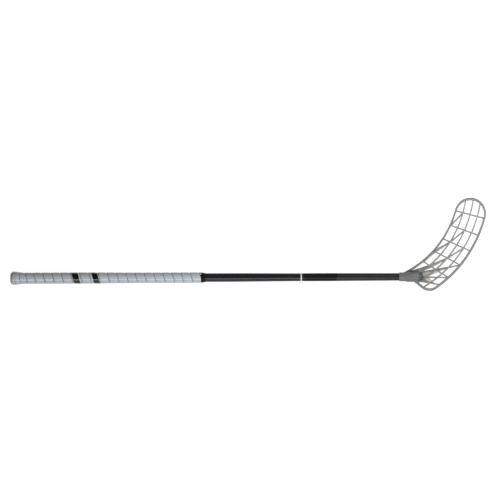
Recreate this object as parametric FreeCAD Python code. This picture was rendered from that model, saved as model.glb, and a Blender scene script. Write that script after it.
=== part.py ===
import FreeCAD, Part
import math
import os

# Floorball stick: a tapered composite shaft with a wound grip, a butt cap and a hooked blade of open ribs.
# The X axis is the shaft's axis and starts at the middle of the butt's end face. The stick lies with the
# hollow side of its blade up, which is +Z, and the toe of the blade is on the +Y side.
# Lengths are in millimetres and angles in degrees.

# Clearances between pieces
FIT_GAP = 0.05            # radial gap of a pressed or bonded fit
SEAT_GAP = 0.3            # end of the shaft to the floor of the blade's socket

# Shaft: diameters of its parallel stretches, and their lengths and those of the tapers between them
SHAFT_WALL = 1.3          # least wall: the bore steps down where each taper starts
HANDLE_DIAMETER = 22.4
HANDLE_LENGTH = 185.5
HANDLE_TAPER_LENGTH = 115.0
LOWER_HANDLE_DIAMETER = 20.8
SEAT_DIAMETER = 20.6      # bare stretch below the grip, where a clip or a rack holds the stick
SEAT_LENGTH = 72.5
UPPER_TAPER_LENGTH = 150.0
WAIST_DIAMETER = 18.6     # carries the films
WAIST_LENGTH = 90.0
LOWER_TAPER_LENGTH = 133.5
TIP_DIAMETER = 17.6       # goes into the blade
TIP_SHOWS = 8.7           # parallel stretch left outside the socket

# Butt cap
CAP_FACE_DIAMETER = 17.0
CAP_FLARE = 2.9           # knob beyond the tube, on each side
CAP_DOME_LENGTH = 3.6
CAP_DOME_BULGE = 1.0      # how far the dome's middle stands out of a straight cone
CAP_KNOB_LENGTH = 5.0     # under the tape
CAP_HEAD_LENGTH = 5.0     # end face to the end of the tube
SPIGOT_LENGTH = 26.0

# Grip tape
TAPE_THICKNESS = 2.05
TAPE_LENGTH = 444.4       # along the shaft
TAPE_BRIDGE = 22.0        # stretch where the tape comes down from the cap's knob to the shaft
TAPE_EDGE_TAPER = 3.0     # the tape is pressed thin along the butt's edge
TAPE_EDGE_DROP = 1.3
TAPE_PITCH = 21.7
TAPE_FIRST_PITCH = 5.0    # turns overlap more at the butt
TAPE_RAMP_TURNS = 4       # turns over which the pitch grows
TAPE_CLOCK = 103.0        # angle from +Y towards +Z at which the first full turn starts
TAPE_END_WIDTH = 2.5      # width at which both cut ends of the strip stop
SEAM_GAP = 0.6
POINTS_PER_TURN = 16

# Grip collar, as thickness over the lower handle
COLLAR_LENGTH = 10.3
COLLAR_STEP_LENGTH = 5.2
COLLAR_THICKNESS = 1.7
COLLAR_STEP_THICKNESS = 0.5

# Films on the shaft
FILM_THICKNESS = 0.12
RING_OFFSET = 1.0         # from the start of the waist
RING_WIDTH = 3.7
PANEL_OFFSET = 4.4        # from the ring
PANEL_LENGTH = 77.0
PANEL_SLANT = 11.0        # slope of the panel's lower end

# Blade: socket for the shaft, a slim sleeve and then a pod that is thicker towards the heel
SOCKET_WALL = 1.8
SLEEVE_LENGTH = 17.0
POD_LENGTH = 34.0
POD_EXTRA = 0.7           # added to the radius and taken off the axis, towards the heel
NOSE_LENGTH = 4.5         # beyond the planform's origin
NOSE_ROUND = 6.0
NOSE_FACETS = 2
MOUTH_CHAMFER = 0.7
SOCKET_FLOOR = 5.5        # floor of the socket to the planform's origin

# Blade: planform, about an origin on the shaft's axis near the end of the socket.
# The lanes are arcs about one centre: lane 0 is the inner rim, and the last one is the sole.
LANES = 5
LANE_RADIUS = 248.4
LANE_PITCH = 17.55
LANE_SHIFT = 0.3          # of the lanes between the rims, towards the sole
RIM_ROOT_SETBACK = 6.0    # the inner rim starts in the sleeve, so far before the pod
RIM_ROOT_ANGLE = -62.5
RIM_ROOT_TURN = 1.1       # the inner rim leaves its root so far off its lane
RIM_EXTRA_RADIUS = 11.5   # and is flatter than it
TOE_ANGLE = -16.15        # where the sole ends
TOE_RADIUS = 36.8         # of the toe on the sole's side, smaller on the inner rim's side
TOE_TIP_ANGLE = 70.0      # where the two radii meet
HEEL_ANGLE = -53.6
HEEL_RADIUS = 24.2
HEEL_SLOPE = 42.3
CROSS_RIBS = 5            # counted from the toe
CROSS_INNER_ANGLE = -15.9
CROSS_INNER_STEP = -8.48
CROSS_OUTER_ANGLE = -16.4
CROSS_OUTER_STEP = -7.54
LOWER_FIN_ANGLE = -51.4   # where the lowest fin meets the sole
DIAGONAL_SETBACK = 36.0   # where the first diagonal leaves the socket
GUSSET_ANGLE = 4.2        # along the inner rim
GUSSET_WIDTH = 2.6        # beyond the socket, at the nose

# Blade: sections
RIM_WIDTH = 3.9
SOLE_WIDTH = 4.8          # of the rim along the sole and the heel
RIM_PROUD = 0.6           # rim above the ribs' front
RIM_HEEL_DEPTH = 7.6
RIM_TOE_DEPTH = 5.4
RIM_CHAMFER = 0.9
LANE_WIDTH = 3.1          # of the ribs along the lanes
RIB_WIDTH = 2.3           # of the cross ribs
RIB_HEEL_DEPTH = 4.6
RIB_TOE_DEPTH = 3.0
FIN_WIDTH = 2.2
FIN_SUNK = 0.5            # fins and diagonals lie below the ribs' front
FIN_LEAN = 0.3            # how far a diagonal's foot is set towards the sole, for its depth
WEB_THICKNESS = 1.8
WEB_SUNK = 3.5            # far corner of a web below the ribs' front
KEEL_OFFSET = -2.5        # where the webs meet under the nose, from the shaft's axis
UPPER_WEB_SHARE = 0.75    # of the upper fin
MIDDLE_WEB_SHARE = 0.27   # of the middle fin
MIDDLE_WEB_LANE = 3
MIDDLE_WEB_ANGLE = -52.9  # along that lane
GUSSET_SUNK = 2.0
GUSSET_HEEL_DEPTH = 5.0
GUSSET_TOE_DEPTH = 4.0

# Blade: depths of the diagonals and fins at their start and at each crossing of a (lane, cross rib)
SOCKET_DIAGONAL_DEPTH = 7.0
SOCKET_DIAGONAL = [((1, 5), 11.0), ((2, 4), 4.0), ((3, 3), 2.6)]
MIDDLE_DIAGONAL = [((0, 4), 9.0), ((1, 3), 3.6), ((2, 2), 2.6)]
TOE_DIAGONAL = [((0, 2), 4.0), ((1, 1), 2.6)]
RIM_FIN = [((0, 5), 5.5), ((0, 4), 9.0)]
ROOT_FIN_DEPTH = 7.0
UPPER_FIN = [((4, 4), 4.0)]
UPPER_FIN_SHARE = 0.378   # of its length, where it is deepest
UPPER_FIN_DEPTH = 9.0
MIDDLE_FIN = [((4, 5), 4.5)]
LOWER_FIN_DEPTH = 5.0

# Blade: hook and roll
BLADE_FRONT = 2.0         # front of the ribs above the shaft's axis
HOOK_RADIUS = 800.0
HOOK_START = 20.0         # along the hook's direction, from the planform's origin
HOOK_DIRECTION = 55.0     # from +X towards +Y
BLADE_ROLL = 9.0          # toe side down

# Blade screws, on the back of the socket
SCREW_COUNT = 2
SCREW_DIAMETER = 2.9
SCREW_HEAD_DIAMETER = 5.2
SCREW_HEAD_HEIGHT = 1.6
SCREW_LENGTH = 6.5        # under the head
SCREW_BOSS_DIAMETER = 7.4
SCREW_BOSS_HEIGHT = 1.4
SCREW_FIRST = 14.0        # from the mouth of the socket
SCREW_SPACING = 18.0

# Radii
handle_radius = HANDLE_DIAMETER / 2
lower_handle_radius = LOWER_HANDLE_DIAMETER / 2
seat_radius = SEAT_DIAMETER / 2
waist_radius = WAIST_DIAMETER / 2
tip_radius = TIP_DIAMETER / 2
cap_radius = handle_radius + CAP_FLARE
bore_radius = tip_radius + FIT_GAP
socket_radius = bore_radius + SOCKET_WALL
pod_radius = socket_radius + POD_EXTRA
boss_reach = socket_radius + SCREW_BOSS_HEIGHT
sole_radius = LANE_RADIUS + (LANES - 1) * LANE_PITCH
rim_radius = LANE_RADIUS + RIM_EXTRA_RADIUS

# Stations along the shaft
socket_depth = SLEEVE_LENGTH + POD_LENGTH - SOCKET_FLOOR
tube_start = CAP_HEAD_LENGTH
handle_end = tube_start + HANDLE_LENGTH
lower_handle_start = handle_end + HANDLE_TAPER_LENGTH
tape_start = CAP_DOME_LENGTH
tape_end = tape_start + TAPE_LENGTH
knob_end = tape_start + CAP_KNOB_LENGTH
seat_start = tape_end + COLLAR_LENGTH
seat_end = seat_start + SEAT_LENGTH
waist_start = seat_end + UPPER_TAPER_LENGTH
waist_end = waist_start + WAIST_LENGTH
ring_start = waist_start + RING_OFFSET
ring_end = ring_start + RING_WIDTH
panel_start = ring_end + PANEL_OFFSET
panel_end = panel_start + PANEL_LENGTH
tip_start = waist_end + LOWER_TAPER_LENGTH
mouth = tip_start + TIP_SHOWS
tube_end = mouth + socket_depth - SEAT_GAP
blade_origin = mouth + SLEEVE_LENGTH + POD_LENGTH

SHAFT_STATIONS = [
    (tube_start, handle_radius),
    (handle_end, handle_radius),
    (lower_handle_start, lower_handle_radius),
    (tape_end, lower_handle_radius),
    (seat_start, seat_radius),
    (seat_end, seat_radius),
    (waist_start, waist_radius),
    (waist_end, waist_radius),
    (tip_start, tip_radius),
    (tube_end, tip_radius),
]


def vec(x, y, z=0.0):
    return FreeCAD.Vector(x, y, z)


def unit(angle):
    return vec(math.cos(math.radians(angle)), math.sin(math.radians(angle)))


UP = vec(0, 0, 1)
AXIS = vec(1, 0, 0)

# Centres of the blade's lanes and of its inner rim, which starts in the wall of the socket
rim_root = vec(-POD_LENGTH - RIM_ROOT_SETBACK, socket_radius - RIM_WIDTH / 2)
lane_centre = rim_root - unit(RIM_ROOT_ANGLE) * LANE_RADIUS
rim_centre = rim_root - unit(RIM_ROOT_ANGLE + RIM_ROOT_TURN) * rim_radius


def polygon(corners):
    """Flat face with straight sides."""
    return Part.Face(Part.makePolygon(corners + corners[:1]))


def lines(points):
    """Straight edges from each (x, radius) point to the next."""
    corners = [vec(x, radius) for x, radius in points]
    return [Part.makeLine(a, b) for a, b in zip(corners, corners[1:])]


def revolve(edges):
    """Solid of revolution about X of a closed outline in the XY plane."""
    return Part.Face(Part.Wire(edges)).revolve(vec(0, 0), AXIS, 360)


# Shaft

def shaft_radius(x):
    """Radius of the shaft's surface at x, straight between stations."""
    for (xa, ra), (xb, rb) in zip(SHAFT_STATIONS, SHAFT_STATIONS[1:]):
        if x <= xb:
            return ra + (rb - ra) * (x - xa) / (xb - xa)
    return tip_radius


def along_shaft(start, end, offset):
    """Points (x, radius) on the shaft's surface from start to end, moved out by offset."""
    between = [x for x, radius in SHAFT_STATIONS if start < x < end]
    return [(x, shaft_radius(x) + offset) for x in [start] + between + [end]]


def sleeve(outer, inner):
    """Closed sleeve between two profiles of (x, radius) points that run the same way."""
    outline = outer + inner[::-1]
    return revolve(lines(outline + outline[:1]))


def make_shaft():
    """Tube with a stepped bore and a pilot hole for each blade screw."""
    bore_stations = [tube_start, handle_end, seat_end, waist_end, tube_end]
    bore = []
    for outside, start, end in zip(
        [handle_radius, seat_radius, waist_radius, tip_radius],
        bore_stations,
        bore_stations[1:],
    ):
        bore += [(start, outside - SHAFT_WALL), (end, outside - SHAFT_WALL)]
    tube = sleeve(along_shaft(tube_start, tube_end, 0.0), bore)
    return tube.cut(screw_row(SCREW_DIAMETER / 2 + FIT_GAP, 0.0, socket_radius))


# Butt cap

def make_butt_cap():
    """Domed head, knob around the tube's end and spigot inside it."""
    face_radius = CAP_FACE_DIAMETER / 2
    around = handle_radius + FIT_GAP
    inside = handle_radius - SHAFT_WALL - FIT_GAP
    spigot_end = tube_start + SPIGOT_LENGTH
    outwards = vec(face_radius - cap_radius, CAP_DOME_LENGTH).normalize()
    crest = vec(CAP_DOME_LENGTH / 2, (face_radius + cap_radius) / 2) + outwards * CAP_DOME_BULGE
    outline = [
        (0, face_radius),
        (crest.x, crest.y),
        (CAP_DOME_LENGTH, cap_radius),
        (knob_end, cap_radius),
        (knob_end, around),
        (tube_start, around),
        (tube_start, inside),
        (spigot_end, inside),
        (spigot_end, 0),
        (0, 0),
        (0, face_radius),
    ]
    return revolve(lines(outline))


# Grip tape

def tape_bed(x):
    """Radius that the tape is wound on: the cap's knob, a straight bridge, then the shaft."""
    return shaft_radius(x) + CAP_FLARE * min(1.0, max(0.0, 1 - (x - knob_end) / TAPE_BRIDGE))


def pitch_growth():
    return (TAPE_PITCH - TAPE_FIRST_PITCH) / TAPE_RAMP_TURNS


def seam_x(turn):
    """Place of the seam along the shaft after so many turns: the pitch grows, then stays."""
    ramp = min(max(turn, 0.0), TAPE_RAMP_TURNS)
    steady_pitch = TAPE_PITCH if turn > 0 else TAPE_FIRST_PITCH
    ramp_length = TAPE_FIRST_PITCH * ramp + pitch_growth() * ramp ** 2 / 2
    return tape_start + ramp_length + steady_pitch * (turn - ramp)


def turn_at(x):
    """Number of turns after which the seam reaches x."""
    ramp_end = seam_x(TAPE_RAMP_TURNS)
    if x > ramp_end:
        return TAPE_RAMP_TURNS + (x - ramp_end) / TAPE_PITCH
    if x < tape_start:
        return (x - tape_start) / TAPE_FIRST_PITCH
    pitch = math.sqrt(TAPE_FIRST_PITCH ** 2 + 2 * pitch_growth() * (x - tape_start))
    return (pitch - TAPE_FIRST_PITCH) / pitch_growth()


def left_edge(turn):
    return max(tape_start, seam_x(turn) + SEAM_GAP / 2)


def right_edge(turn):
    return min(tape_end, seam_x(turn + 1) - SEAM_GAP / 2)


def tape_point(turn, x, thickness):
    """Point above the tape's bed after so many turns. The tape is pressed thin at the butt's edge."""
    pressed = max(0.0, 1 - (x - tape_start) / TAPE_EDGE_TAPER) * TAPE_EDGE_DROP / TAPE_THICKNESS
    radius = tape_bed(x) + FIT_GAP + thickness * (1 - pressed)
    around = unit(TAPE_CLOCK + 360.0 * turn)
    return vec(x, radius * around.x, radius * around.y)


def tape_section(turn):
    """Corners of the strip's section after so many turns."""
    left = left_edge(turn)
    right = right_edge(turn)
    return [
        tape_point(turn, left, 0.0),
        tape_point(turn, right, 0.0),
        tape_point(turn, right, TAPE_THICKNESS),
        tape_point(turn, left, TAPE_THICKNESS),
    ]


def ruled_face(rail, other):
    """Face swept by the straight line between two rails that share their knots."""
    surface = Part.BSplineSurface()
    surface.buildFromPolesMultsKnots(
        [rail.getPoles(), other.getPoles()],
        [2, 2],
        rail.getMultiplicities(),
        [0.0, 1.0],
        rail.getKnots(),
        False,
        False,
        1,
        rail.Degree,
    )
    return surface.toShape()


def make_grip_tape():
    """One unbroken strip wound on the handle, cut square to the shaft at both ends."""
    first = turn_at(tape_start + TAPE_END_WIDTH + SEAM_GAP / 2) - 1
    leaves_butt = turn_at(tape_start - SEAM_GAP / 2)
    meets_collar = turn_at(tape_end + SEAM_GAP / 2) - 1
    last = turn_at(tape_end - TAPE_END_WIDTH - SEAM_GAP / 2)
    faces = []
    for start, end in ((first, leaves_butt), (leaves_butt, meets_collar), (meets_collar, last)):
        steps = math.ceil((end - start) * POINTS_PER_TURN) + 2
        turns = [start + (end - start) * step / steps for step in range(steps + 1)]
        rails = []
        for points in zip(*[tape_section(turn) for turn in turns]):
            rail = Part.BSplineCurve()
            rail.interpolate(Points=list(points), Parameters=turns)
            rails.append(rail)
        faces += [ruled_face(rail, other) for rail, other in zip(rails, rails[1:] + rails[:1])]
    faces += [polygon(tape_section(turn)) for turn in (first, last)]
    shell = Part.Shell(faces)
    shell.sewShape()
    strip = Part.Solid(shell)
    if strip.Volume < 0:
        strip.reverse()
    print("grip tape: %.1f turns, least gap to itself %.2f mm" % (last - first, tape_gap(first, last)))
    return strip


def tape_gap(first, last):
    """Least distance between points on the facing edges of neighbouring turns."""
    samples = 20
    spread = 0.05
    gap = TAPE_PITCH
    for place in range(int((last - first - 1) * samples)):
        turn = first + place / samples
        edge = tape_point(turn, right_edge(turn), 0.0)
        for shift in range(-samples, samples + 1):
            facing = turn + 1 + spread * shift / samples
            gap = min(gap, edge.distanceToPoint(tape_point(facing, left_edge(facing), 0.0)))
    return gap


# Grip collar and films

def make_grip_collar():
    """Stepped band against the end of the tape."""
    step = tape_end + COLLAR_STEP_LENGTH
    high = lower_handle_radius + COLLAR_THICKNESS
    low = lower_handle_radius + COLLAR_STEP_THICKNESS
    bore = lower_handle_radius + FIT_GAP
    outer = [(tape_end, high), (step, high), (step, low), (seat_start, low)]
    return sleeve(outer, [(tape_end, bore), (seat_start, bore)])


def make_film(start, end):
    return sleeve(along_shaft(start, end, FIT_GAP + FILM_THICKNESS), along_shaft(start, end, FIT_GAP))


def make_ring_decal():
    """Thin ring of film."""
    return make_film(ring_start, ring_end)


def make_panel_decal():
    """Thin sleeve of film with a slanted lower end."""
    reach = HANDLE_DIAMETER
    lean = reach * math.tan(math.radians(PANEL_SLANT))
    beyond = polygon([
        vec(panel_end + lean, reach, -reach),
        vec(panel_end - lean, -reach, -reach),
        vec(panel_end + 2 * lean, -reach, -reach),
        vec(panel_end + 2 * lean, reach, -reach),
    ])
    return make_film(panel_start, panel_end + lean).cut(beyond.extrude(UP * (2 * reach)))


# Blade: planform, built flat about its origin

def lane_point(radius, angle):
    return lane_centre + unit(angle) * radius


def lane_arc(radius, start, end):
    middle = (start + end) / 2
    return Part.Arc(*[lane_point(radius, angle) for angle in (start, middle, end)]).toShape()


def lane_radius(lane):
    """Radius of a lane's arc: the lanes between the rims are shifted a little."""
    shift = LANE_SHIFT if 0 < lane < LANES - 1 else 0.0
    return LANE_RADIUS + lane * LANE_PITCH + shift


def crossing(lane, rib):
    """Where a lane meets a cross rib."""
    inner = lane_point(LANE_RADIUS, CROSS_INNER_ANGLE + CROSS_INNER_STEP * (rib - 1))
    outer = lane_point(sole_radius, CROSS_OUTER_ANGLE + CROSS_OUTER_STEP * (rib - 1))
    return inner + (outer - inner) * ((lane_radius(lane) - LANE_RADIUS) / (sole_radius - LANE_RADIUS))


def lane_heel_angle(radius):
    """Where a lane ends: in the side of the socket, in its nose, or past the heel."""
    at_nose = lane_centre.y - math.sqrt(radius ** 2 - lane_centre.x ** 2)
    if at_nose > socket_radius - LANE_WIDTH:
        return -math.degrees(math.asin((lane_centre.y - socket_radius + LANE_WIDTH / 2) / radius))
    if at_nose > LANE_WIDTH - pod_radius:
        return -math.degrees(math.acos(-lane_centre.x / radius))
    return RIM_ROOT_ANGLE


def toe_points(inner, outer, radius):
    """Ends and middles of the toe's two arcs, which touch the inner rim, each other and the sole."""
    wide_centre = lane_point(outer - radius, TOE_ANGLE)
    towards = unit(TOE_TIP_ANGLE)
    apart = wide_centre - rim_centre
    reach = inner + radius
    step = (reach ** 2 - apart.dot(apart)) / (2 * (reach + apart.dot(towards)))
    tight_centre = wide_centre + towards * step
    from_rim = (tight_centre - rim_centre).normalize()
    from_tip = (towards - from_rim).normalize()
    to_sole = (towards + unit(TOE_ANGLE)).normalize()
    return [
        rim_centre + from_rim * inner,
        tight_centre + from_tip * (radius - step),
        tight_centre + towards * (radius - step),
        wide_centre + to_sole * radius,
        lane_point(outer, TOE_ANGLE),
    ]


def outline(side):
    """Face inside the rim's outer side (1), centreline (0) or inner side (-1), closed in the socket."""
    inner = rim_radius - side * RIM_WIDTH / 2
    outer = sole_radius + side * SOLE_WIDTH / 2
    toe = toe_points(inner, outer, TOE_RADIUS + side * SOLE_WIDTH / 2)
    heel_centre = lane_point(sole_radius - HEEL_RADIUS, HEEL_ANGLE)
    heel_exit = -90.0 - HEEL_SLOPE
    heel = [heel_centre + unit(angle) * (HEEL_RADIUS + side * SOLE_WIDTH / 2)
            for angle in (HEEL_ANGLE, (HEEL_ANGLE + heel_exit) / 2, heel_exit)]
    slope = unit(180.0 - HEEL_SLOPE)
    heel_root = heel[-1] - slope * (heel[-1].y / slope.y)
    rim_start = unit(RIM_ROOT_ANGLE + RIM_ROOT_TURN)
    rim_end = (toe[0] - rim_centre).normalize()
    rim_middle = (rim_start + rim_end).normalize()
    rim = [rim_centre + direction * inner for direction in (rim_start, rim_middle, rim_end)]
    closing = [heel_root, vec(-POD_LENGTH, 0), rim[0]]
    edges = [
        Part.Arc(*rim).toShape(),
        Part.Arc(*toe[:3]).toShape(),
        Part.Arc(*toe[2:]).toShape(),
        lane_arc(outer, TOE_ANGLE, HEEL_ANGLE),
        Part.Arc(*heel).toShape(),
        Part.makeLine(heel[-1], heel_root),
    ]
    edges += [Part.makeLine(a, b) for a, b in zip(closing, closing[1:])]
    return Part.Face(Part.Wire(edges))


def arc_band(radius, start, end):
    """Flat band along a lane."""
    inner = radius - LANE_WIDTH / 2
    outer = radius + LANE_WIDTH / 2
    sides = [lane_arc(inner, start, end), lane_arc(outer, start, end)]
    ends = [Part.makeLine(lane_point(inner, angle), lane_point(outer, angle)) for angle in (start, end)]
    return Part.Face(Part.Wire(Part.__sortEdges__(sides + ends)))


def line_band(start, end):
    """Flat straight band of a cross rib's width."""
    side = (end - start).cross(UP).normalize() * (RIB_WIDTH / 2)
    return polygon([start + side, end + side, end - side, start - side])


# Blade: hook

def rise(radius, run):
    """Height of an arc over its tangent."""
    return radius - math.sqrt(radius ** 2 - run ** 2)


def hook_height(point):
    """Front of the ribs above the shaft's axis, at a point of the planform."""
    return BLADE_FRONT + rise(HOOK_RADIUS, max(0.0, point.dot(unit(HOOK_DIRECTION)) - HOOK_START))


def hooked_slab(proud, heel_depth, toe_depth):
    """Slab over the whole blade: the front is the hook's arc, the back an arc that thins it to the toe."""
    along = unit(HOOK_DIRECTION)
    across = unit(HOOK_DIRECTION + 90)
    reach = sole_radius
    toe = lane_point(sole_radius, TOE_ANGLE).dot(along) + LANES * LANE_PITCH - HOOK_START
    front_radius = HOOK_RADIUS - proud
    back_rise = rise(front_radius, toe) + heel_depth - toe_depth
    back_radius = (toe ** 2 + back_rise ** 2) / (2 * back_rise)

    def side(radius, base):
        """Flat stretch and arc of one face of the slab, with the points at its two ends."""
        points = [along * (HOOK_START + run) - across * reach + UP * (base + rise(radius, max(0.0, run)))
                  for run in (-reach, 0.0, toe / 2, toe)]
        return [Part.makeLine(*points[:2]), Part.Arc(*points[1:]).toShape()], points[0], points[-1]

    front, front_heel, front_toe = side(front_radius, BLADE_FRONT + proud)
    back, back_heel, back_toe = side(back_radius, BLADE_FRONT + proud - heel_depth)
    ends = [Part.makeLine(front_heel, back_heel), Part.makeLine(front_toe, back_toe)]
    section = Part.Face(Part.Wire(Part.__sortEdges__(front + back + ends)))
    return section.extrude(across * (2 * reach))


def hooked(face, slab):
    """The part of a slab over a face of the planform."""
    low = face.copy()
    low.translate(UP * -sole_radius)
    return low.extrude(UP * (2 * sole_radius)).common(slab)


# Blade: parts of the moulding

def on_front(edge):
    """Whether an edge of the rim lies on its front."""
    middle = edge.valueAt((edge.FirstParameter + edge.LastParameter) / 2)
    return middle.z > hook_height(middle)


def make_rim():
    """Rim with its front edges bevelled, open towards the socket."""
    band = outline(1).cut(outline(-1))
    rim = hooked(band, hooked_slab(RIM_PROUD, RIM_HEEL_DEPTH, RIM_TOE_DEPTH))
    front = [edge for edge in rim.Edges if edge.Length > RIM_HEEL_DEPTH + RIM_CHAMFER and on_front(edge)]
    return rim.makeChamfer(RIM_CHAMFER, front)


def make_net():
    """Lanes and cross ribs inside the rim: one holed face, given depth."""
    radii = [lane_radius(lane) for lane in range(1, LANES - 1)]
    bands = [arc_band(radius, lane_heel_angle(radius), 0.0) for radius in radii]
    bands += [line_band(crossing(0, rib), crossing(LANES - 1, rib)) for rib in range(1, CROSS_RIBS + 1)]
    pieces = bands[0].multiFuse(bands[1:]).common(outline(0))
    net = Part.Shell(pieces.Faces).removeSplitter()
    return hooked(net.Faces[0], hooked_slab(0.0, RIB_HEEL_DEPTH, RIB_TOE_DEPTH))


def fin(start, end, start_depth, end_depth, lean):
    """Straight fin below the ribs' front, as deep as given at each end, its foot leaning to the sole."""
    tops = [point + UP * (hook_height(point) - FIN_SUNK) for point in (start, end)]
    side = (end - start).cross(UP).normalize()
    down = side * lean - UP
    plate = polygon([tops[0], tops[1], tops[1] + down * end_depth, tops[0] + down * start_depth])
    plate.translate(side * (-FIN_WIDTH / 2))
    return plate.extrude(side * FIN_WIDTH)


def fin_chain(stops, lean=0.0):
    """Fins from stop to stop, each a point and a depth."""
    return [fin(start, end, start_depth, end_depth, lean)
            for (start, start_depth), (end, end_depth) in zip(stops, stops[1:])]


def at_crossings(stops):
    return [(crossing(*place), depth) for place, depth in stops]


def make_diagonals():
    """Diagonal fins from the socket and the inner rim into the net, fading out towards the toe."""
    root = vec(-DIAGONAL_SETBACK, socket_radius - FIN_WIDTH / 2)
    fins = fin_chain([(root, SOCKET_DIAGONAL_DEPTH)] + at_crossings(SOCKET_DIAGONAL), FIN_LEAN)
    for stops in (RIM_FIN, MIDDLE_DIAGONAL, TOE_DIAGONAL):
        fins += fin_chain(at_crossings(stops), FIN_LEAN)
    return fins


def make_web(corners):
    """Thin flat gusset through three points."""
    a, b, c = corners
    normal = (b - a).cross(c - a).normalize() * WEB_THICKNESS
    plate = polygon(corners)
    plate.translate(normal * -0.5)
    return plate.extrude(normal)


def below_front(point):
    return point + UP * (hook_height(point) - WEB_SUNK)


def make_root_fins():
    """Fins that fan out from the nose of the socket to the sole, and the webs that form its keel."""
    upper = vec(0, socket_radius + GUSSET_WIDTH - FIN_WIDTH / 2)
    lower = vec(NOSE_LENGTH - NOSE_ROUND, FIN_WIDTH - POD_EXTRA - pod_radius)
    sole_end = lane_point(sole_radius, LOWER_FIN_ANGLE)
    along_upper = crossing(*UPPER_FIN[0][0]) - upper
    deepest = (upper + along_upper * UPPER_FIN_SHARE, UPPER_FIN_DEPTH)
    fins = fin_chain([(upper, ROOT_FIN_DEPTH), deepest] + at_crossings(UPPER_FIN))
    fins += fin_chain([(vec(0, 0), ROOT_FIN_DEPTH)] + at_crossings(MIDDLE_FIN))
    fins += fin_chain([(lower, ROOT_FIN_DEPTH), (sole_end, LOWER_FIN_DEPTH)])
    upper_far = below_front(upper + along_upper * UPPER_WEB_SHARE)
    middle_far = below_front(crossing(*MIDDLE_FIN[0][0]) * MIDDLE_WEB_SHARE)
    lane_far = below_front(lane_point(lane_radius(MIDDLE_WEB_LANE), MIDDLE_WEB_ANGLE))
    upper_keel = vec(0, KEEL_OFFSET, WEB_THICKNESS - socket_radius)
    lower_keel = upper_keel + unit(90) * FIN_WIDTH
    fins.append(make_web([upper, upper_far, upper_keel]))
    fins.append(make_web([lower, below_front(sole_end), lower_keel]))
    fins.append(make_web([lane_far, middle_far, lower_keel + UP * WEB_THICKNESS]))
    return fins


def make_gusset():
    """Plate along the socket, from the inner rim's root to the nose."""
    rim_end = lane_point(LANE_RADIUS, RIM_ROOT_ANGLE + GUSSET_ANGLE)
    corners = [rim_end, vec(0, socket_radius + GUSSET_WIDTH), vec(0, rim_root.y), rim_root]
    edges = [lane_arc(LANE_RADIUS, RIM_ROOT_ANGLE, RIM_ROOT_ANGLE + GUSSET_ANGLE)]
    edges += [Part.makeLine(a, b) for a, b in zip(corners, corners[1:])]
    return hooked(Part.Face(Part.Wire(edges)), hooked_slab(-GUSSET_SUNK, GUSSET_HEEL_DEPTH, GUSSET_TOE_DEPTH))


def make_socket():
    """Outside of the socket: slim sleeve, thicker pod and faceted round nose."""
    start = -SLEEVE_LENGTH - POD_LENGTH
    slim = revolve(lines([
        (start, 0),
        (start, socket_radius - MOUTH_CHAMFER),
        (start + MOUTH_CHAMFER, socket_radius),
        (0, socket_radius),
        (0, 0),
        (start, 0),
    ]))
    nose = [unit(90.0 * (1 - facet / NOSE_FACETS)) * NOSE_ROUND for facet in range(NOSE_FACETS + 1)]
    outline = [(-POD_LENGTH, 0), (-POD_LENGTH, pod_radius)]
    outline += [(NOSE_LENGTH - NOSE_ROUND + point.x, pod_radius - NOSE_ROUND + point.y) for point in nose]
    pod = revolve(lines(outline + [(NOSE_LENGTH, 0), (-POD_LENGTH, 0)]))
    pod.translate(vec(0, -POD_EXTRA))
    return [slim, pod]


def rolled(shape):
    """Turn a shape about the shaft's axis as the blade is turned."""
    shape.rotate(vec(0, 0), AXIS, -BLADE_ROLL)
    return shape


def screw_row(radius, start, end):
    """Cylinders at the screws' places, between two distances behind the shaft's axis."""
    places = [vec(mouth + SCREW_FIRST + number * SCREW_SPACING, 0, -end) for number in range(SCREW_COUNT)]
    return rolled(Part.makeCompound([Part.makeCylinder(radius, end - start, place, UP) for place in places]))


def make_blade():
    """Socket, rim, net, diagonals, fins and webs in one moulding."""
    pieces = make_socket() + [make_net(), make_gusset()] + make_diagonals() + make_root_fins()
    blade = make_rim().multiFuse(pieces)
    blade.translate(AXIS * blade_origin)
    blade = rolled(blade).fuse(screw_row(SCREW_BOSS_DIAMETER / 2, bore_radius, boss_reach))
    blade = blade.cut(Part.makeCylinder(bore_radius, socket_depth, vec(mouth, 0), AXIS))
    blade = blade.cut(screw_row(SCREW_DIAMETER / 2 + FIT_GAP, 0.0, boss_reach + SCREW_BOSS_HEIGHT))
    return blade.removeSplitter()


# Blade screws

def make_blade_screws():
    """Pan-head screws from the bosses through the socket and the shaft's wall."""
    shanks = screw_row(SCREW_DIAMETER / 2, boss_reach - SCREW_LENGTH, boss_reach).Solids
    heads = screw_row(SCREW_HEAD_DIAMETER / 2, boss_reach, boss_reach + SCREW_HEAD_HEIGHT).Solids
    return Part.makeCompound([shank.fuse(head) for shank, head in zip(shanks, heads)])


PIECES = {
    "shaft": make_shaft,
    "butt_cap": make_butt_cap,
    "grip_tape": make_grip_tape,
    "grip_collar": make_grip_collar,
    "ring_decal": make_ring_decal,
    "panel_decal": make_panel_decal,
    "blade": make_blade,
    "blade_screws": make_blade_screws,
}

os.makedirs("parts", exist_ok=True)
for name, make in PIECES.items():
    shape = make()
    shape.exportStep("parts/%s.step" % name)
    print("%s: %d solids, %.2f cm3" % (name, len(shape.Solids), shape.Volume / 1000))
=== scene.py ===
import math

import bpy
from mathutils import Matrix, Vector


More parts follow.
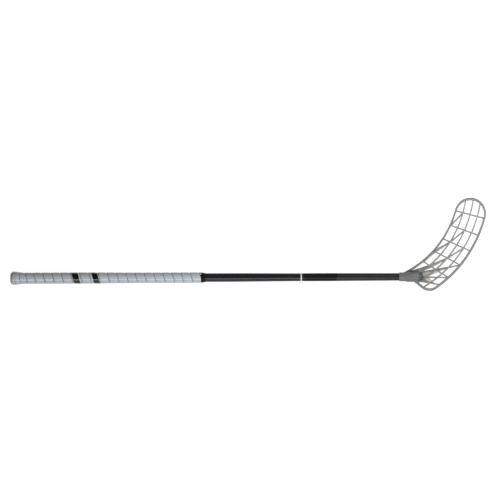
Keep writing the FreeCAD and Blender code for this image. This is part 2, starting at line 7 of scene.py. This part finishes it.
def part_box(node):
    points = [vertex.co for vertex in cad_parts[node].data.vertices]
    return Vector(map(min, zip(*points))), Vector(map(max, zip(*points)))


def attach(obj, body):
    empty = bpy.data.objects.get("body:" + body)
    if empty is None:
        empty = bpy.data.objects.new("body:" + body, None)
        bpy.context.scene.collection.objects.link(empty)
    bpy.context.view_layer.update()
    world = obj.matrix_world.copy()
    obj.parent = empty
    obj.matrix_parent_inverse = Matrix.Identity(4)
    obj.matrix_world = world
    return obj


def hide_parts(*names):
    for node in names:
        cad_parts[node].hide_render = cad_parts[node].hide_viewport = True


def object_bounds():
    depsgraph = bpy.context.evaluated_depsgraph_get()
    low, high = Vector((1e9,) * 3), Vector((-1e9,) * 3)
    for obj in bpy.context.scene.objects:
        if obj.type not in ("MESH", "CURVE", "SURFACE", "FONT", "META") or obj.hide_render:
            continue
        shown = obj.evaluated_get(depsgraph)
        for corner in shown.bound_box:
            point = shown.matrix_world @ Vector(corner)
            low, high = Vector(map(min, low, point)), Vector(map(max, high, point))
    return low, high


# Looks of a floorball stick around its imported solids. X runs along the shaft from butt to blade.
# Lengths are in millimetres, as in the part's source, and become metres in meshes and shaders.
# Colours come in pairs: a noise moves a surface between the two. Scales of noises are per metre.

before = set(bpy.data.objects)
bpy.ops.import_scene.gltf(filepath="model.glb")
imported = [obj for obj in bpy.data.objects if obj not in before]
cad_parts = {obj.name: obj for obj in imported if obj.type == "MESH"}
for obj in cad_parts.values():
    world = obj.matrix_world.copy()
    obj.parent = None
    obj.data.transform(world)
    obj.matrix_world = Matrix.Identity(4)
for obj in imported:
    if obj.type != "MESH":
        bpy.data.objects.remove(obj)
cad_low, cad_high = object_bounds()

MM = 0.001

# Camera, fitted to the photograph, in metres and degrees
CAMERA_ELEVATION = 76.7
CAMERA_DISTANCE = 13.358
CAMERA_SPAN = 1.16257
CAMERA_TARGET_X = 0.55716
CAMERA_TARGET_UP = 0.0703
CAMERA_ROLL = -0.222
SENSOR = 36.0

# Light, in metres and watts
WORLD_STRENGTH = 0.10
WORLD_COLOUR = (1.0, 0.94, 0.88)
KEY = {"watts": 26.0, "colour": (0.92, 0.97, 1.0), "size": (2.4, 0.6), "start": (0.6, -1.25, 1.05)}
TOP = {"watts": 11.0, "colour": (0.97, 0.98, 1.0), "size": (1.0, 0.7), "start": (1.4, 0.5, 0.95)}
LIGHTS_AIM = (0.60, 0.0, 0.0)
FLOOR_SIZE = 120.0
FLOOR_GLOW = 0.88
FLOOR_COLOUR = 0.38

# Noise: the range that most of its values lie in
NOISE_RANGE = (0.3, 0.7)

# Shaft: a fine twill, drawn marks along the tube, and a duller finish from under the panel on
SHAFT_UPPER = [(0.009, 0.009, 0.013), (0.016, 0.016, 0.022)]
SHAFT_LOWER = [(0.008, 0.007, 0.011), (0.014, 0.013, 0.018)]
SHAFT_DULL_FROM = 727.0
SHAFT_DULL_BLEND = 10.0
SHAFT_PATTERN_RADIUS = 9.8
SHAFT_IOR = 1.38
UPPER_ROUGHNESS = 0.26
LOWER_ROUGHNESS = 0.42
SMUDGE_SCALE = 60.0
SMUDGE_ROUGHNESS = (-0.03, 0.05)
TWILL_SCALE = 620.0
TWILL_ANGLE = 45.0
TWILL_SHARE = 0.35
DRAWN_SCALE = 900.0
DRAWN_SQUEEZE = 14.0
SHAFT_BUMP = {"distance": 0.01, "strength": 0.1}

# Butt cap
CAP_COLOURS = [(0.40, 0.42, 0.44), (0.50, 0.52, 0.54)]
CAP_CLOUD_SCALE = 90.0
CAP_GRAIN_SCALE = 2400.0
CAP_ROUGHNESS = (0.55, 0.72)
CAP_BUMP = {"distance": 0.1, "strength": 0.35}

# Grip: the strip is wound as in the part's source
HANDLE = [(5.0, 11.2), (190.5, 11.2), (305.5, 10.4), (448.0, 10.4)]
TAPE_START = 3.6
TAPE_END = 448.0
TAPE_THICKNESS = 2.05
TAPE_LIFT = 0.05
CAP_FLARE = 2.9
KNOB_END = 8.6
TAPE_BRIDGE = 22.0
TAPE_EDGE_TAPER = 3.0
TAPE_EDGE_DROP = 1.3
TAPE_PITCH = 21.7
TAPE_FIRST_PITCH = 5.0
TAPE_RAMP_TURNS = 4
TAPE_CLOCK = 103.0
TAPE_FIRST_TURN = -0.53
TAPE_LAST_TURN = 21.89
SEAM_GAP = 0.2
STEPS_PER_TURN = 44

# Grip: section of the strip as (share of the width, share of the thickness), from seam to seam
STRIP_PROFILE = [
    (0.0, 0.0), (0.0, 0.34), (0.008, 0.56), (0.022, 0.74), (0.05, 0.89), (0.1, 0.98), (0.2, 1.02),
    (0.4, 1.04), (0.6, 1.03), (0.78, 1.0), (0.88, 0.95), (0.94, 0.87), (0.975, 0.74), (0.992, 0.56),
    (1.0, 0.36), (1.0, 0.0),
]

# Grip: dark printed bands as (turn, half length in turns, middle across the strip, half width across)
PRINTED_BANDS = [(8.0, 0.42, 0.47, 0.346), (10.0, 0.42, 0.60, 0.32)]
INK_COLOURS = [(0.002, 0.002, 0.003), (0.006, 0.006, 0.008)]
INK_RAGGED = 0.015
INK_ROUGHNESS = -0.07     # added to the foam's own

# Grip: foam with embossed pores, and painted shade in the pores, along the seams and towards the butt end
FOAM_COLOURS = [(0.475, 0.50, 0.53), (0.545, 0.57, 0.60)]
FOAM_PAINTED_SHADE = (0.12, 0.12, 0.125)
FOAM_CLOUD_SCALE = 55.0
FOAM_GRAIN_SCALE = 1500.0
FOAM_ROUGHNESS = (0.15, 0.22)
TURN_LENGTH = 78.0
STRIP_WIDTH = 21.0
PORES_PER_MM = 0.42
PORE_ANGLE = 45.0
PORE_EDGE = (0.1, 0.2)    # of the distance between pores
# Painted shade in the pores
PORE_PAINTED_SHADE = 0.10
# Painted shade along the seams of the strip, where the turns meet
SEAM_PAINTED_SHADE = 0.62
SEAM_FIRST = 0.07         # widths of the dark edges across the strip
SEAM_LAST = 0.05
# Painted shade that darkens the grip towards the butt end
BUTT_END_PAINTED_SHADE = 0.17
BUTT_END_SHADE_LENGTH = 400.0
GRAIN_HEIGHT = 0.35       # of a pore's depth
FOAM_BUMP = {"distance": 0.18, "strength": 0.3}

# Grip collar
COLLAR_COLOURS = [(0.001, 0.0015, 0.002), (0.004, 0.005, 0.006)]
COLLAR_PATTERN_RADIUS = 12.0
COLLAR_FIBRE_SCALE = 2600.0
COLLAR_STRETCH = 0.06
COLLAR_ROUGHNESS = (0.34, 0.5)
COLLAR_IOR = 1.22
COLLAR_BUMP = {"distance": 0.06, "strength": 0.4}

# Films on the shaft: the ring is white next to the upper shaft and dark towards the panel
RING_WHITE_WIDTH = 2.6
RING_COLOURS = [(0.74, 0.75, 0.76), (0.82, 0.83, 0.84)]
RING_ROUGHNESS = (0.26, 0.36)
PANEL_COLOURS = [(0.003, 0.003, 0.005), (0.009, 0.009, 0.013)]
PANEL_ROUGHNESS = (0.32, 0.42)
FILM_PATTERN_RADIUS = 9.4
FILM_STREAK_SCALE = 700.0
FILM_STRETCH = 0.3
FILM_IOR = 1.25
FILM_BUMP = {"distance": 0.01, "strength": 0.2}

# Blade: its place and its hook, as in the part's source
BLADE_ORIGIN = 964.0
BLADE_FRONT = 2.0
BLADE_ROLL = 9.0
HOOK_RADIUS = 800.0
HOOK_START = 20.0
HOOK_DIRECTION = 55.0

# Blade: smoky plastic, clearest beyond the end of the shaft and off the front of the net.
# Places are (start, end) of a blend: along the shaft from the blade's origin, and off the net's front.
SOCKET_COLOURS = [(0.36, 0.37, 0.385), (0.46, 0.47, 0.485)]
# Painted shade: the gusset colour darkens a band beside the socket, between the gusset stops
GUSSET_PAINTED_SHADE = (0.16, 0.155, 0.15)
NET_COLOURS = [(0.385, 0.395, 0.41), (0.475, 0.485, 0.50)]
CLEAR_COLOURS = [(0.735, 0.72, 0.70), (0.795, 0.78, 0.76)]
# Painted shade: the nose colour darkens the clear plastic near the socket's end, up to the nose stop
NOSE_PAINTED_SHADE = (0.53, 0.50, 0.47)
SHAFT_STOP = (-5.5, -3.5)
NOSE_SHADE_STOP = (6.0, 18.0)
GUSSET_SHADE_START = (10.8, 11.4)
GUSSET_SHADE_STOP = (14.5, 15.5)
NET_MIDDLE = 1.0
NET_STOP = (1.6, 2.8)
BLADE_CLOUD_SCALE = 45.0
BLADE_GRAIN_SCALE = 1900.0
BLADE_ROUGHNESS = (0.38, 0.52)
BLADE_TRANSMISSION = (0.64, 0.86)
BLADE_IOR = 1.4
SMOKE_COLOUR = (0.56, 0.5, 0.43)
SMOKE_DENSITY = 400.0
BLADE_BUMP = {"distance": 0.08, "strength": 0.3}

# Blade screws, on the back of the socket. Heights are counted outwards from a head's underside.
SCREW_PLACES = [927.0, 945.0]
SCREW_SEAT = 12.05        # from the shaft's axis to a head's underside
SCREW_SEGMENTS = 24
SCREW_PROFILE = [
    (1.5, 1.6), (1.95, 1.52), (2.32, 1.28), (2.54, 0.88), (2.6, 0.4), (2.5, 0.0), (1.45, 0.0),
    (1.45, -5.0), (0.3, -6.5),
]
RECESS_TOP = (1.25, 0.34, 1.6)      # reach and half width of an arm, and height
RECESS_FLOOR = (0.62, 0.24, 0.55)
SHARP_ANGLE = 35.0
SCREW_COLOURS = [(0.46, 0.47, 0.49), (0.60, 0.60, 0.59)]
SCREW_PATCH_SCALE = 500.0
SCREW_MARK_SCALE = 3200.0
SCREW_ROUGHNESS = (0.24, 0.42)
SCREW_BUMP = {"distance": 0.03, "strength": 0.3}

# Rounded edges of moulded pieces
EDGE_ROUNDING = {"blade": 0.35, "grip_collar": 0.25, "butt_cap": 0.4}
ROUNDING_ANGLE = 35.0
ROUNDING_SEGMENTS = 2
WELD_DISTANCE = 0.002


# Node helpers

def new_material(name):
    """Material with its tree and its principled shader."""
    material = bpy.data.materials.new(name)
    material.use_nodes = True
    return material, material.node_tree, material.node_tree.nodes["Principled BSDF"]


def node(tree, kind, inputs=(), **settings):
    """New node. Inputs are (socket, value or output socket) pairs."""
    made = tree.nodes.new("ShaderNode" + kind)
    for key, value in settings.items():
        setattr(made, key, value)
    for key, value in dict(inputs).items():
        if isinstance(value, bpy.types.NodeSocket):
            tree.links.new(value, made.inputs[key])
        else:
            made.inputs[key].default_value = value
    return made


def math_node(tree, operation, *values):
    return node(tree, "Math", enumerate(values), operation=operation).outputs[0]


def add(tree, first, second):
    return math_node(tree, "ADD", first, second)


def subtract(tree, first, second):
    return math_node(tree, "SUBTRACT", first, second)


def multiply(tree, first, second):
    return math_node(tree, "MULTIPLY", first, second)


def noise(tree, vector, scale, detail=3.0):
    settings = {"Vector": vector, "Scale": scale, "Detail": detail, "Roughness": 0.55}
    return node(tree, "TexNoise", settings).outputs["Fac"]


def remap(tree, value, low, high, to_low=0.0, to_high=1.0):
    """Smooth step from one range to another."""
    settings = {0: value, 1: low, 2: high, 3: to_low, 4: to_high}
    return node(tree, "MapRange", settings, interpolation_type="SMOOTHSTEP").outputs[0]


def step_between(tree, value, stops):
    """0 before the first of two places in millimetres, and 1 after the second."""
    start, end = stops
    return remap(tree, value, start * MM, end * MM)


def spread(tree, value, limits):
    """A noise's usual range, mapped onto two limits."""
    return remap(tree, value, *NOISE_RANGE, *limits)


def mix_colour(tree, share, first, second):
    made = tree.nodes.new("ShaderNodeMix")
    made.data_type = "RGBA"
    for key, value in ((0, share), (6, first), (7, second)):
        if isinstance(value, bpy.types.NodeSocket):
            tree.links.new(value, made.inputs[key])
        else:
            made.inputs[key].default_value = value if key == 0 else (*value, 1.0)
    return made.outputs[2]


def object_place(tree):
    return node(tree, "TexCoord").outputs["Object"]


def axes(tree, vector):
    return node(tree, "SeparateXYZ", {0: vector}).outputs


def vector_of(tree, x, y):
    return node(tree, "CombineXYZ", {0: x, 1: y}).outputs[0]


def turned_by(tree, vector, degrees):
    """A flat pattern's place, turned in its plane."""
    settings = {"Vector": vector, "Rotation": (0, 0, math.radians(degrees))}
    return node(tree, "Mapping", settings).outputs[0]


def around_shaft(tree, radius):
    """(x, distance around the shaft) of a surface point, in metres."""
    x, y, z = axes(tree, object_place(tree))
    angle = math_node(tree, "ARCTAN2", z, y)
    return x, multiply(tree, angle, radius * MM)


def surface(tree, shader, colour, roughness, height, bump, **constants):
    """Link colour, roughness and bump. Constants go on the shader's own sockets."""
    settings = {"Strength": bump["strength"], "Distance": bump["distance"] * MM, "Height": height}
    tree.links.new(colour, shader.inputs["Base Color"])
    tree.links.new(roughness, shader.inputs["Roughness"])
    tree.links.new(node(tree, "Bump", settings).outputs["Normal"], shader.inputs["Normal"])
    for key, value in constants.items():
        shader.inputs[key].default_value = value


# Materials

def shaft_material():
    """Dark fibre under a satin clear coat."""
    material, tree, shader = new_material("shaft_composite")
    x, around = around_shaft(tree, SHAFT_PATTERN_RADIUS)
    dull_stops = (SHAFT_DULL_FROM - SHAFT_DULL_BLEND, SHAFT_DULL_FROM + SHAFT_DULL_BLEND)
    lower = step_between(tree, x, dull_stops)
    twill = turned_by(tree, vector_of(tree, x, around), TWILL_ANGLE)
    weave = node(tree, "TexChecker", {"Vector": twill, "Scale": TWILL_SCALE}).outputs["Fac"]
    drawn_place = vector_of(tree, multiply(tree, x, DRAWN_SQUEEZE), around)
    drawn = noise(tree, drawn_place, DRAWN_SCALE, 2.0)
    tone = add(tree, multiply(tree, weave, TWILL_SHARE), multiply(tree, drawn, 1 - TWILL_SHARE))
    upper_colour = mix_colour(tree, tone, *SHAFT_UPPER)
    lower_colour = mix_colour(tree, tone, *SHAFT_LOWER)
    colour = mix_colour(tree, lower, upper_colour, lower_colour)
    smudge = spread(tree, noise(tree, object_place(tree), SMUDGE_SCALE), SMUDGE_ROUGHNESS)
    coat = remap(tree, lower, 0, 1, UPPER_ROUGHNESS, LOWER_ROUGHNESS)
    surface(tree, shader, colour, add(tree, coat, smudge), tone, SHAFT_BUMP, IOR=SHAFT_IOR)
    return material


def cap_material():
    """Matte moulded rubber."""
    material, tree, shader = new_material("cap_rubber")
    place = object_place(tree)
    colour = mix_colour(tree, noise(tree, place, CAP_CLOUD_SCALE), *CAP_COLOURS)
    grain = noise(tree, place, CAP_GRAIN_SCALE, 2.0)
    surface(tree, shader, colour, spread(tree, grain, CAP_ROUGHNESS), grain, CAP_BUMP)
    return material


def printed_share(tree, turn, across, grain):
    """1 on the printed bands, whose edges are a little ragged, and 0 elsewhere."""
    ragged = add(tree, across, multiply(tree, subtract(tree, grain, 0.5), INK_RAGGED))
    printed = 0.0
    for middle, half_length, centre, half_width in PRINTED_BANDS:
        along = math_node(tree, "COMPARE", turn, middle, half_length)
        wide = math_node(tree, "COMPARE", ragged, centre, half_width)
        printed = math_node(tree, "MAXIMUM", printed, multiply(tree, along, wide))
    return printed


def pore_share(tree, turn, across):
    """1 in the pores, which lie in slanting rows on the strip, and 0 between them."""
    along = multiply(tree, turn, TURN_LENGTH)
    strip = vector_of(tree, along, multiply(tree, across, STRIP_WIDTH))
    settings = {"Vector": turned_by(tree, strip, PORE_ANGLE), "Scale": PORES_PER_MM, "Randomness": 0.0}
    dots = node(tree, "TexVoronoi", settings, voronoi_dimensions="2D").outputs["Distance"]
    return remap(tree, dots, *PORE_EDGE, 1.0, 0.0)


def grip_material():
    """Soft foam strip with two dark printed bands."""
    material, tree, shader = new_material("grip_foam")
    turn = node(tree, "Attribute", attribute_name="turn").outputs["Fac"]
    across = node(tree, "Attribute", attribute_name="across").outputs["Fac"]
    place = object_place(tree)
    cloud = noise(tree, place, FOAM_CLOUD_SCALE)
    grain = noise(tree, place, FOAM_GRAIN_SCALE)
    pit = pore_share(tree, turn, across)
    printed = printed_share(tree, turn, across, grain)
    first_edge = remap(tree, across, 0.0, SEAM_FIRST, 1.0, 0.0)
    # Painted shade along both seams of the strip
    edge = add(tree, first_edge, remap(tree, across, 1 - SEAM_LAST, 1.0))
    # Painted shade towards the butt end
    butt_end_shade = remap(tree, axes(tree, place)[0], 0.0, BUTT_END_SHADE_LENGTH * MM, BUTT_END_PAINTED_SHADE, 0.0)
    # Painted shade in the seams and pores, then towards the butt end
    shade = add(tree, multiply(tree, edge, SEAM_PAINTED_SHADE), multiply(tree, pit, PORE_PAINTED_SHADE))
    shade = add(tree, shade, butt_end_shade)
    foam = mix_colour(tree, shade, mix_colour(tree, cloud, *FOAM_COLOURS), FOAM_PAINTED_SHADE)
    colour = mix_colour(tree, printed, foam, mix_colour(tree, grain, *INK_COLOURS))
    roughness = add(tree, spread(tree, cloud, FOAM_ROUGHNESS), multiply(tree, printed, INK_ROUGHNESS))
    height = subtract(tree, multiply(tree, grain, GRAIN_HEIGHT), pit)
    surface(tree, shader, colour, roughness, height, FOAM_BUMP)
    return material


def collar_material():
    """Black finishing tape with a fine stretch along its turns."""
    material, tree, shader = new_material("collar_tape")
    x, around = around_shaft(tree, COLLAR_PATTERN_RADIUS)
    stretched = vector_of(tree, x, multiply(tree, around, COLLAR_STRETCH))
    fibres = noise(tree, stretched, COLLAR_FIBRE_SCALE, 2.0)
    colour = mix_colour(tree, fibres, *COLLAR_COLOURS)
    roughness = spread(tree, fibres, COLLAR_ROUGHNESS)
    surface(tree, shader, colour, roughness, fibres, COLLAR_BUMP, IOR=COLLAR_IOR)
    return material


def film_material(name, roughness, white_end=0.0):
    """Dark printed film under lacquer, a little uneven. The ring's is white up to white_end."""
    material, tree, shader = new_material(name)
    x, around = around_shaft(tree, FILM_PATTERN_RADIUS)
    stretched = vector_of(tree, multiply(tree, x, FILM_STRETCH), around)
    streak = noise(tree, stretched, FILM_STREAK_SCALE, 2.0)
    dark = mix_colour(tree, streak, *PANEL_COLOURS)
    white = mix_colour(tree, streak, *RING_COLOURS)
    colour = mix_colour(tree, math_node(tree, "LESS_THAN", x, white_end), dark, white)
    surface(tree, shader, colour, spread(tree, streak, roughness), streak, FILM_BUMP, IOR=FILM_IOR)
    return material


def blade_place(tree):
    """x and y of a point in the blade's own frame, and how far it lies behind the net's front."""
    turned = node(tree, "Mapping", {
        "Vector": object_place(tree),
        "Location": (-BLADE_ORIGIN * MM, 0, 0),
        "Rotation": (math.radians(BLADE_ROLL), 0, 0),
    }).outputs[0]
    direction = math.radians(HOOK_DIRECTION)
    heading = (math.cos(direction), math.sin(direction), 0)
    product = node(tree, "VectorMath", {0: turned, 1: heading}, operation="DOT_PRODUCT")
    run = subtract(tree, product.outputs["Value"], HOOK_START * MM)
    run = math_node(tree, "MAXIMUM", run, 0.0)
    rise = math_node(tree, "DIVIDE", multiply(tree, run, run), 2 * HOOK_RADIUS * MM)
    x, y, z = axes(tree, turned)
    return x, y, subtract(tree, add(tree, rise, BLADE_FRONT * MM), z)


def blade_material():
    """Smoky moulded plastic with a fine eroded texture. Fins, webs and nose let most light through.
    Painted shade darkens a band on the gusset and the plastic near the socket's end.
    """
    material, tree, shader = new_material("blade_plastic")
    place = object_place(tree)
    cloud = noise(tree, place, BLADE_CLOUD_SCALE)
    grain = noise(tree, place, BLADE_GRAIN_SCALE, 2.0)
    x, y, depth = blade_place(tree)
    past_shaft = step_between(tree, x, SHAFT_STOP)
    from_net = math_node(tree, "ABSOLUTE", subtract(tree, depth, NET_MIDDLE * MM))
    clear = multiply(tree, past_shaft, step_between(tree, from_net, NET_STOP))
    # Painted shade on a band of the gusset beside the socket
    gusset_shade_share = subtract(tree, step_between(tree, y, GUSSET_SHADE_START), step_between(tree, y, GUSSET_SHADE_STOP))
    socket = mix_colour(tree, cloud, *SOCKET_COLOURS)
    socket = mix_colour(tree, gusset_shade_share, socket, GUSSET_PAINTED_SHADE)
    solid = mix_colour(tree, past_shaft, socket, mix_colour(tree, cloud, *NET_COLOURS))
    smoke = mix_colour(tree, cloud, *CLEAR_COLOURS)
    # Painted shade on the clear plastic near the socket's end
    smoke = mix_colour(tree, step_between(tree, x, NOSE_SHADE_STOP), NOSE_PAINTED_SHADE, smoke)
    colour = mix_colour(tree, clear, solid, smoke)
    surface(tree, shader, colour, spread(tree, grain, BLADE_ROUGHNESS), grain, BLADE_BUMP, IOR=BLADE_IOR)
    tree.links.new(remap(tree, clear, 0, 1, *BLADE_TRANSMISSION), shader.inputs["Transmission Weight"])
    tint = node(tree, "VolumeAbsorption", {"Color": (*SMOKE_COLOUR, 1.0), "Density": SMOKE_DENSITY})
    tree.links.new(tint.outputs[0], tree.nodes["Material Output"].inputs["Volume"])
    return material


def screw_material():
    """Zinc plated steel with fine marks."""
    material, tree, shader = new_material("screw_steel")
    place = object_place(tree)
    colour = mix_colour(tree, noise(tree, place, SCREW_PATCH_SCALE), *SCREW_COLOURS)
    marks = noise(tree, place, SCREW_MARK_SCALE, 2.0)
    surface(tree, shader, colour, spread(tree, marks, SCREW_ROUGHNESS), marks, SCREW_BUMP, Metallic=1.0)
    return material


def floor_material():
    """White floor that still takes the object's shadow."""
    material, tree, shader = new_material("floor")
    path = node(tree, "LightPath").outputs
    seen = math_node(tree, "MAXIMUM", path["Is Camera Ray"], path["Is Glossy Ray"])
    seen = math_node(tree, "MAXIMUM", seen, path["Is Transmission Ray"])
    matt = node(tree, "BsdfDiffuse", {"Color": (FLOOR_COLOUR, FLOOR_COLOUR, FLOOR_COLOUR, 1.0)})
    glow = node(tree, "Emission", {"Strength": multiply(tree, seen, FLOOR_GLOW)})
    both = node(tree, "AddShader", {0: matt.outputs[0], 1: glow.outputs[0]})
    tree.links.new(both.outputs[0], tree.nodes["Material Output"].inputs["Surface"])
    tree.nodes.remove(shader)
    return material


# Pieces

def new_piece(name, points, faces, material):
    """Smooth mesh from points in millimetres."""
    mesh = bpy.data.meshes.new(name)
    mesh.from_pydata([Vector(point) * MM for point in points], [], faces)
    mesh.polygons.foreach_set("use_smooth", [True] * len(mesh.polygons))
    mesh.materials.append(material)
    piece = bpy.data.objects.new(name, mesh)
    bpy.context.scene.collection.objects.link(piece)
    return piece


def ring_faces(upper, lower, size):
    """Quads between two closed rows of points, given by their first points."""
    pairs = [(corner, (corner + 1) % size) for corner in range(size)]
    return [(upper + a, lower + a, lower + b, upper + b) for a, b in pairs]


def handle_radius(x):
    """Radius of the shaft under the grip."""
    for (xa, ra), (xb, rb) in zip(HANDLE, HANDLE[1:]):
        if x <= xb:
            return ra + (rb - ra) * max(0.0, x - xa) / (xb - xa)
    return HANDLE[-1][1]


def tape_bed(x):
    """Radius of what the tape lies on: the cap's knob, a slope and the shaft."""
    return handle_radius(x) + CAP_FLARE * min(1.0, max(0.0, 1 - (x - KNOB_END) / TAPE_BRIDGE))


def seam_x(turn):
    """Place along the shaft of the strip's first edge after so many turns."""
    ramp = min(max(turn, 0.0), TAPE_RAMP_TURNS)
    growth = (TAPE_PITCH - TAPE_FIRST_PITCH) / TAPE_RAMP_TURNS
    pitch = TAPE_PITCH if turn > 0 else TAPE_FIRST_PITCH
    return TAPE_START + TAPE_FIRST_PITCH * ramp + growth * ramp ** 2 / 2 + pitch * (turn - ramp)


def strip_section(turn):
    """Points of the strip's section after so many turns."""
    left = max(TAPE_START, seam_x(turn) + SEAM_GAP / 2)
    right = min(TAPE_END, seam_x(turn + 1) - SEAM_GAP / 2)
    angle = math.radians(TAPE_CLOCK + 360.0 * turn)
    points = []
    for across, share in STRIP_PROFILE:
        x = left + (right - left) * across
        pressed = max(0.0, 1 - (x - TAPE_START) / TAPE_EDGE_TAPER) * TAPE_EDGE_DROP / TAPE_THICKNESS
        radius = tape_bed(x) + TAPE_LIFT + TAPE_THICKNESS * share * (1 - pressed)
        points.append((x, radius * math.cos(angle), radius * math.sin(angle)))
    return points


def make_grip():
    """One strip wound on the handle, its turns rounded off into seams."""
    all_turns = TAPE_LAST_TURN - TAPE_FIRST_TURN
    steps = round(all_turns * STEPS_PER_TURN)
    turns = [TAPE_FIRST_TURN + all_turns * step / steps for step in range(steps + 1)]
    points = [point for turn in turns for point in strip_section(turn)]
    size = len(STRIP_PROFILE)
    faces = [tuple(range(size)), tuple(range(len(points) - 1, len(points) - 1 - size, -1))]
    for step in range(steps):
        faces += ring_faces(step * size, (step + 1) * size, size)
    grip = new_piece("grip_wrap", points, faces, grip_material())
    for name, values in (
        ("turn", [turn for turn in turns for _ in STRIP_PROFILE]),
        ("across", [across for _ in turns for across, _ in STRIP_PROFILE]),
    ):
        grip.data.attributes.new(name, "FLOAT", "POINT").data.foreach_set("value", values)
    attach(grip, "root")
    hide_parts("grip_tape")


def cross_outline(reach, half_width, height):
    """Corners of a cross, by quarters: two at an arm's end, then the inner one before the next arm."""
    quarter = [
        (reach, -half_width, height),
        (reach, half_width, height),
        (half_width, half_width, height),
    ]
    turns = [Matrix.Rotation(math.radians(90 * number), 3, "Z") for number in range(4)]
    return [turn @ Vector(corner) for turn in turns for corner in quarter]


def screw_mesh():
    """Points and faces of one screw: pan head with a cross recess, and pointed shank."""
    points = []
    faces = []
    for radius, height in SCREW_PROFILE:
        for step in range(SCREW_SEGMENTS):
            angle = math.tau * step / SCREW_SEGMENTS
            points.append(Vector((radius * math.cos(angle), radius * math.sin(angle), height)))
    for ring in range(len(SCREW_PROFILE) - 1):
        faces += ring_faces(ring * SCREW_SEGMENTS, (ring + 1) * SCREW_SEGMENTS, SCREW_SEGMENTS)
    faces.append(tuple(range(len(points) - 1, len(points) - 1 - SCREW_SEGMENTS, -1)))
    top = len(points)
    points += cross_outline(*RECESS_TOP)
    corners = len(points) - top
    floor = top + corners
    points += cross_outline(*RECESS_FLOOR)
    faces += ring_faces(floor, top, corners)
    span = SCREW_SEGMENTS // 4
    for quarter in range(4):
        first = 3 * quarter
        rim = [(span * quarter + step) % SCREW_SEGMENTS for step in range(-1, span)]
        faces.append((top + first, *rim[:3], top + first + 1))
        faces.append((top + first + 1, *rim[2:], top + (first + 3) % corners, top + first + 2))
        faces.append((floor + (first - 1) % corners, floor + first, floor + first + 1, floor + first + 2))
    faces.append(tuple(floor + corner for corner in range(2, corners, 3)))
    return points, faces


def make_screws():
    """Two screws in the bosses on the back of the socket."""
    head_out = Matrix.Rotation(math.radians(180 - BLADE_ROLL), 3, "X")
    one, one_faces = screw_mesh()
    points = []
    faces = []
    for place in SCREW_PLACES:
        start = Vector((place, 0, 0)) + head_out @ Vector((0, 0, SCREW_SEAT))
        faces += [tuple(len(points) + corner for corner in face) for face in one_faces]
        points += [start + head_out @ point for point in one]
    screws = new_piece("screws", points, faces, screw_material())
    screws.data.set_sharp_from_angle(angle=math.radians(SHARP_ANGLE))
    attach(screws, "root")
    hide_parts("blade_screws")


def soften(name, width):
    """Join the split corners of a CAD node's mesh and round its edges."""
    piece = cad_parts[name]
    weld = piece.modifiers.new("weld", "WELD")
    weld.merge_threshold = WELD_DISTANCE * MM
    rounding = piece.modifiers.new("rounding", "BEVEL")
    rounding.width = width * MM
    rounding.segments = ROUNDING_SEGMENTS
    rounding.limit_method = "ANGLE"
    rounding.angle_limit = math.radians(ROUNDING_ANGLE)
    rounding.harden_normals = True


def dress(name, material):
    """Give a CAD node its material."""
    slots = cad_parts[name].data.materials
    slots.clear()
    slots.append(material)


# Stage

def make_floor():
    half = FLOOR_SIZE / 2 / MM
    level = cad_low.z / MM
    corners = [(-half, -half, level), (half, -half, level), (half, half, level), (-half, half, level)]
    new_piece("floor", corners, [(0, 1, 2, 3)], floor_material())


def add_area_light(name, watts, colour, size, start):
    lamp = bpy.data.lights.new(name, "AREA")
    lamp.energy = watts
    lamp.color = colour
    lamp.shape = "RECTANGLE"
    lamp.size, lamp.size_y = size
    light = bpy.data.objects.new(name, lamp)
    light.location = start
    aim = Vector(LIGHTS_AIM) - Vector(start)
    light.rotation_euler = aim.to_track_quat("-Z", "Y").to_euler()
    bpy.context.scene.collection.objects.link(light)


def make_lights():
    add_area_light("key", **KEY)
    add_area_light("top", **TOP)
    world = bpy.data.worlds.new("studio")
    world.use_nodes = True
    background = world.node_tree.nodes["Background"]
    background.inputs["Color"].default_value = (*WORLD_COLOUR, 1.0)
    background.inputs["Strength"].default_value = WORLD_STRENGTH
    bpy.context.scene.world = world


def make_camera():
    lens = bpy.data.cameras.new("camera")
    lens.sensor_width = SENSOR
    lens.lens = SENSOR * CAMERA_DISTANCE / CAMERA_SPAN
    lens.clip_end = 10 * CAMERA_DISTANCE
    elevation = math.radians(CAMERA_ELEVATION)
    right = Vector((1, 0, 0))
    up = Vector((0, math.sin(elevation), math.cos(elevation)))
    back = Vector((0, -math.cos(elevation), math.sin(elevation)))
    camera = bpy.data.objects.new("camera", lens)
    camera.location = right * CAMERA_TARGET_X + up * CAMERA_TARGET_UP + back * CAMERA_DISTANCE
    roll = Matrix.Rotation(math.radians(CAMERA_ROLL), 3, "Z")
    camera.rotation_euler = (Matrix((right, up, back)).transposed() @ roll).to_euler()
    bpy.context.scene.collection.objects.link(camera)
    bpy.context.scene.camera = camera


make_camera()
make_lights()
make_floor()
bpy.context.scene.view_settings.view_transform = "Standard"

ring_low, ring_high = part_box("ring_decal")
dress("shaft", shaft_material())
dress("butt_cap", cap_material())
dress("grip_collar", collar_material())
dress("ring_decal", film_material("ring_film", RING_ROUGHNESS, ring_low[0] + RING_WHITE_WIDTH * MM))
dress("panel_decal", film_material("panel_film", PANEL_ROUGHNESS))
dress("blade", blade_material())
for node_name, rounding_width in EDGE_ROUNDING.items():
    soften(node_name, rounding_width)
make_grip()
make_screws()
